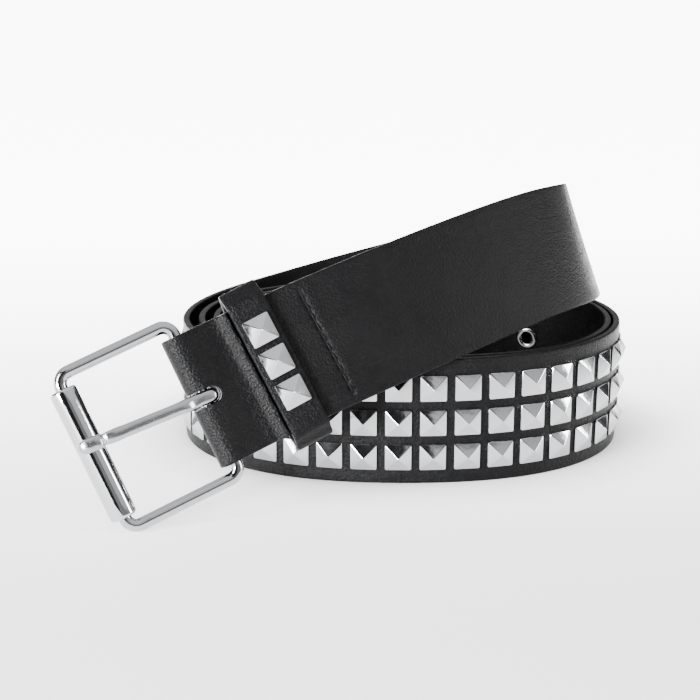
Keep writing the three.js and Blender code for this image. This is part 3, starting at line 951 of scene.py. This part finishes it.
knots = prong_table[:, 0]
arm_x = np.unique(np.concatenate([np.linspace(a, b, 6) for a, b in zip(knots[:-1], knots[1:])]))


def through(column):
    """Hermite cubic through the table's places, with each slope the mean of its neighbours'."""
    i = np.clip(np.searchsorted(knots, arm_x, side="right") - 1, 0, len(knots) - 2)
    slope = np.gradient(column, knots)
    step = knots[i + 1] - knots[i]
    t = (arm_x - knots[i]) / step
    blend = t * t * (3 - 2 * t)
    bow = t * (1 - t) * step * (slope[i] * (1 - t) - slope[i + 1] * t)
    return column[i] + (column[i + 1] - column[i]) * blend + bow


arm_top, arm_low, arm_wide = (through(prong_table[:, k]) for k in (1, 2, 3))
arm_middle, arm_thick = (arm_top + arm_low) / 2, arm_top - arm_low
arm_profile = rounded_rectangle(1, 1, 0.42, per_corner=7, per_side=2)
arm = np.empty((len(arm_x), len(arm_profile), 3))
arm[..., 0] = arm_x[:, None]
arm[..., 1] = arm_profile[None, :, 0] * arm_wide[:, None]
arm[..., 2] = arm_middle[:, None] + arm_profile[None, :, 1] * arm_thick[:, None]
eye_wall = 1.0
eye_rows = 48
eye_profile = rounded_rectangle(prong_width, eye_wall, 0.3, per_corner=4, per_side=2)
eye_turn = np.linspace(0, 2 * np.pi, eye_rows, endpoint=False)
eye_radius = prong_eye - eye_wall / 2 + eye_profile[None, :, 1]
eye = np.empty((eye_rows, len(eye_profile), 3))
eye[..., 0] = np.cos(eye_turn)[:, None] * eye_radius
eye[..., 1] = -eye_profile[None, :, 0]
eye[..., 2] = np.sin(eye_turn)[:, None] * eye_radius
own = np.vstack([arm.reshape(-1, 3), eye.reshape(-1, 3)])
skew = np.radians(-3.8)
turned_x = own[..., 0] * np.cos(skew) - own[..., 1] * np.sin(skew)
turned_y = own[..., 0] * np.sin(skew) + own[..., 1] * np.cos(skew)
own[..., 0], own[..., 1] = turned_x, turned_y - prong_rise
columns = len(arm_profile)
arm_corners = len(arm_x) * columns
arm_faces = grid_quads(len(arm_x), columns)
eye_faces = grid_quads(eye_rows, len(eye_profile), ring=True, first=arm_corners)
prong_bar = new_piece(
    "prong_bar",
    placed(own, *buckle),
    np.vstack([arm_faces, eye_faces]),
    caps=[np.arange(columns)[::-1], arm_corners - columns + np.arange(columns)],
)
prong_bar.data.materials.append(prong_metal)
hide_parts("prong")
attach(prong_bar, "prong")

# %% [markdown]
# ## Eyelets
#
# Each hole near the strap's tip has a pressed ring with a domed lip on both faces. The lip's
# profile is turned about the hole's axis.

# %% Eyelets
lip_turn = np.linspace(0, np.pi, 9)
lip_face = strap_thickness / 2 + 0.1
lip_middle, lip_half = (eyelet_flange + eyelet_bore) / 2, (eyelet_flange - eyelet_bore) / 2
lip = np.column_stack([lip_middle - lip_half * np.cos(lip_turn), lip_face + 0.72 * np.sin(lip_turn)])
barrel = [[eyelet_barrel, lip_face - 0.02], [eyelet_barrel, -lip_face + 0.02]]
eyelet_profile = np.vstack([lip, barrel, lip[::-1] * (1, -1)])
eyelet_sides = 40
eyelet_corners = eyelet_sides * len(eyelet_profile)
own = turned(eyelet_profile, eyelet_sides)
ring_points, ring_faces = [], []
for number, distance in enumerate(eyelet_places):
    origin, forward, upward, outward_way = eyelet_frame(distance)
    ring_points.append(placed(own, origin, forward, outward_way, upward).reshape(-1, 3))
    first = number * eyelet_corners
    ring_faces.append(grid_quads(eyelet_sides, len(eyelet_profile), ring=True, first=first))
eyelet_rings = new_piece("eyelet_rings", np.vstack(ring_points), np.vstack(ring_faces))
eyelet_rings.data.materials.append(eyelet_metal)
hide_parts(*[f"eyelet_{i}" for i in range(1, eyelet_count + 1)])
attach(eyelet_rings, "belt")

# %% [markdown]
# ## Stitches
#
# A short line of black thread holds the flap to the strap. Each stitch is a bowed length of
# round thread that dives into the leather at both ends. Waxed thread is nearly matt, and its
# twist shows as fine slanting ridges. All stitches are one mesh.

# %% Stitches
thread, thread_out = new_material("waxed black polyester thread")
thread_spot = add_node(thread, "ShaderNodeTexCoord").outputs["Object"]
twist_wave = add_node(
    thread,
    "ShaderNodeTexWave",
    {"Vector": thread_spot, "Scale": 1 / (1.3 * millimetre), "Distortion": 1.5, "Detail": 1.0},
    bands_direction="DIAGONAL",
)
twist = {"Strength": 0.5, "Distance": 0.06 * millimetre, "Height": twist_wave.outputs["Fac"]}
thread_bump = add_node(thread, "ShaderNodeBump", twist)
thread_shader = add_node(
    thread,
    "ShaderNodeBsdfPrincipled",
    {
        "Base Color": linear("060607"),
        "Roughness": 0.62,
        "Specular IOR Level": 0.15,
        "Normal": thread_bump.outputs["Normal"],
    },
)
thread.node_tree.links.new(thread_shader.outputs["BSDF"], thread_out.inputs["Surface"])

stitch_count = 10
stitch_pitch = 3.45
thread_radius = 0.27
stitch_rows, thread_sides = 11, 8
stitch_corners = stitch_rows * thread_sides
stitch_share = np.linspace(0, 1, stitch_rows)
ring_turn = np.linspace(0, 2 * np.pi, thread_sides, endpoint=False)[None, :, None]
thread_points, thread_faces, thread_caps = [], [], []
for number in range(stitch_count):
    middle_height = (number - (stitch_count - 1) / 2) * stitch_pitch
    heights = middle_height + (stitch_share - 0.5) * 0.78 * stitch_pitch
    origin, forward, upward, away = strap_at(stitch_line(heights))
    sink = -0.38 + 0.42 * np.sin(np.pi * stitch_share)
    centre = origin + upward * heights[:, None] + away * (strap_thickness / 2 + sink)[:, None]
    circle = forward[:, None] * np.cos(ring_turn) + away[:, None] * np.sin(ring_turn)
    first = number * stitch_corners
    around = first + np.arange(thread_sides)
    thread_points.append((centre[:, None] + thread_radius * circle).reshape(-1, 3))
    thread_faces.append(grid_quads(stitch_rows, thread_sides, first=first))
    thread_caps += [around[::-1], around + stitch_corners - thread_sides]
thread_points, thread_faces = np.vstack(thread_points), np.vstack(thread_faces)
stitch_threads = new_piece("stitch_threads", thread_points, thread_faces, caps=thread_caps)
stitch_threads.data.materials.append(thread)
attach(stitch_threads, "belt")

# %% [markdown]
# ## Floor and light
#
# The belt stands on plain white. The floor is a white sheet with a painted glow: it gives light of
# its own, more of it farther back. The glow is left out under the coil and a little round it, a
# painted shadow at the belt's foot, and beside the belt on the right, painted shade there. Its
# fibres are about 1.1 mm apart. Polished metal shows its surroundings, so these matter as much as
# the lamps.

# %% Floor
sheet, sheet_out = new_material("matt white sheet, painted glow and painted shadow")
floor_spot = add_node(sheet, "ShaderNodeTexCoord").outputs["Object"]
fibre_grid = {"Vector": floor_spot, "Scale": 0.9 / millimetre, "Detail": 2.0}
fibre = add_node(sheet, "ShaderNodeTexNoise", fibre_grid)
nap = {"Strength": 0.05, "Distance": 0.2 * millimetre, "Height": fibre.outputs["Fac"]}
floor_bump = add_node(sheet, "ShaderNodeBump", nap)
floor_parts = add_node(sheet, "ShaderNodeSeparateXYZ", {"Vector": floor_spot})
farther = add_node(
    sheet,
    "ShaderNodeMapRange",
    {"Value": floor_parts.outputs["Y"], "From Min": -0.16, "From Max": 0.4, "To Min": 0.9, "To Max": 9.0},
    interpolation_type="SMOOTHSTEP",
)
# The glow fades out inside an oval round the coil, from 0.86 to 1.5 times its half axes: a painted
# contact shadow under and round the belt.
coil_middle = tuple(float(v) for v in belt_place * millimetre)
oval_scale = (1000 / coil_half_width, 1000 / coil_half_depth, 0)
in_ovals = floor_spot
for step, other in (("SUBTRACT", coil_middle), ("MULTIPLY", oval_scale)):
    moved = add_node(sheet, "ShaderNodeVectorMath", {0: in_ovals, 1: other}, operation=step)
    in_ovals = moved.outputs["Vector"]
in_ovals = add_node(sheet, "ShaderNodeVectorMath", {0: in_ovals}, operation="LENGTH")
painted_shadow_fade = add_node(
    sheet,
    "ShaderNodeMapRange",
    {"Value": in_ovals.outputs["Value"], "From Min": 0.86, "From Max": 1.5},
    interpolation_type="SMOOTHSTEP",
)
glow = add_node(
    sheet,
    "ShaderNodeMath",
    {0: farther.outputs["Result"], 1: painted_shadow_fade.outputs["Result"]},
    operation="MULTIPLY",
)
# The painted glow ends at a right border, so the floor beyond it lies in painted shade; the border slants
# away from the camera.
aside = add_node(
    sheet,
    "ShaderNodeMath",
    {0: floor_parts.outputs["Y"], 1: -0.24, 2: floor_parts.outputs["X"]},
    operation="MULTIPLY_ADD",
)
painted_glow_right_border = add_node(
    sheet,
    "ShaderNodeMapRange",
    {"Value": aside.outputs["Value"], "From Min": 0.13, "From Max": 0.24, "To Min": 1.0, "To Max": 0.0},
    interpolation_type="SMOOTHSTEP",
)
glow = add_node(
    sheet,
    "ShaderNodeMath",
    {0: glow.outputs["Value"], 1: painted_glow_right_border.outputs["Result"]},
    operation="MULTIPLY",
)
# The emission is a painted glow: the floor gives light of its own though it is no lamp.
floor_shader = add_node(
    sheet,
    "ShaderNodeBsdfPrincipled",
    {
        "Base Color": linear("f4f4f4"),
        "Roughness": 0.9,
        "Normal": floor_bump.outputs["Normal"],
        "Emission Color": (1, 1, 1, 1),
        "Emission Strength": glow.outputs["Value"],
    },
)
sheet.node_tree.links.new(floor_shader.outputs["BSDF"], sheet_out.inputs["Surface"])
reach = 6.0
floor_mesh = bpy.data.meshes.new("floor")
floor_corners = [(-reach, -reach, 0), (reach, -reach, 0), (reach, reach, 0), (-reach, reach, 0)]
floor_mesh.from_pydata(floor_corners, [], [(0, 1, 2, 3)])
floor_mesh.materials.append(sheet)
floor = bpy.data.objects.new("floor", floor_mesh)
bpy.context.scene.collection.objects.link(floor)
print("floor:", 2 * reach, "m wide")


# %% Lamps
def soft_lamp(name, place, width, height, power):
    """An upright rectangular soft box in metres that looks at the belt's middle."""
    light = bpy.data.lights.new(name, "AREA")
    light.shape = "RECTANGLE"
    light.size, light.size_y = width, height
    light.energy = power
    lamp = bpy.data.objects.new(name, light)
    lamp.location = place
    lamp.rotation_euler = (Vector((0, 0, 0.04)) - Vector(place)).to_track_quat("-Z", "Y").to_euler()
    bpy.context.scene.collection.objects.link(lamp)


soft_lamp("soft_box_left", (-0.95, -0.75, 0.42), 0.42, 0.9, 30)
soft_lamp("soft_box_low", (-0.72, -0.85, 0.1), 0.34, 0.18, 60)
soft_lamp("soft_box_right", (1.35, -0.2, 0.32), 0.3, 0.7, 17)
print("3 soft boxes")

# %% [markdown]
# The room itself is bright above and behind, where a white ceiling and wall are lit. It is dark
# round the camera and low at the back on the right, and dim grey to the camera's right. The dark
# parts draw the lines along the edges of polished metal, and keep the strap's right end from
# shining. The world's brightness therefore depends on the direction alone. A table gives its
# rules: each row is a soft step over an earlier value, or a sum or product of two of them.

# %% Room
world = bpy.data.worlds.new("studio")
world.use_nodes = True
world.node_tree.nodes.clear()
looking = add_node(world, "ShaderNodeTexCoord").outputs["Generated"]
value = dict(add_node(world, "ShaderNodeSeparateXYZ", {"Vector": looking}).outputs.items())

# A step has its source, where it starts and ends, and the values there.
rules = {
    "front": ("Y", -0.5, 0.35, 1.0, 0.0),
    "left rise": ("X", -0.15, 0.15, -0.25, 0.1),
    "right drop": ("X", 0.35, 0.7, 0.0, 0.15),
    "sides": ("left rise", "right drop", "ADD"),
    "border": ("Z", "sides", "ADD"),
    "below": ("border", 0.46, 0.58, 1.0, 0.0),
    "dark": ("front", "below", "MULTIPLY"),
    "right": ("X", 0.18, 0.4, 0.0, 1.0),
    "low": ("Z", 0.2, 0.5, 1.0, 0.0),
    "back": ("Y", 0.1, 0.4, 0.0, 1.0),
    "right low": ("right", "low", "MULTIPLY"),
    "right back": ("right low", "back", "MULTIPLY"),
    "ceiling": ("Z", 0.2, 0.9, 0.8, 1.6),
    "dimmed": ("dark", 0.0, 1.0, 1.0, 0.03),
    "dimmed back": ("right back", 0.0, 1.0, 1.0, 0.08),
    "lit": ("ceiling", "dimmed", "MULTIPLY"),
    "lit around": ("lit", "dimmed back", "MULTIPLY"),
    "grey": ("X", 0.05, 0.25, 0.0, 0.35),
    "grey front": ("grey", "dark", "MULTIPLY"),
    "room": ("lit around", "grey front", "ADD"),
}
for name, (source, *rest) in rules.items():
    if len(rest) == 4:
        limits = dict(zip(("From Min", "From Max", "To Min", "To Max"), rest))
        inputs = {"Value": value[source], **limits}
        step = add_node(world, "ShaderNodeMapRange", inputs, interpolation_type="SMOOTHSTEP")
        value[name] = step.outputs["Result"]
    else:
        other, operation = rest
        inputs = {0: value[source], 1: value[other]}
        value[name] = add_node(world, "ShaderNodeMath", inputs, operation=operation).outputs["Value"]
light = {"Color": (1, 1, 1, 1), "Strength": value["room"]}
sky = add_node(world, "ShaderNodeBackground", light)
add_node(world, "ShaderNodeOutputWorld", {"Surface": sky.outputs["Background"]})
bpy.context.scene.world = world
print("room:", len(rules), "rules")
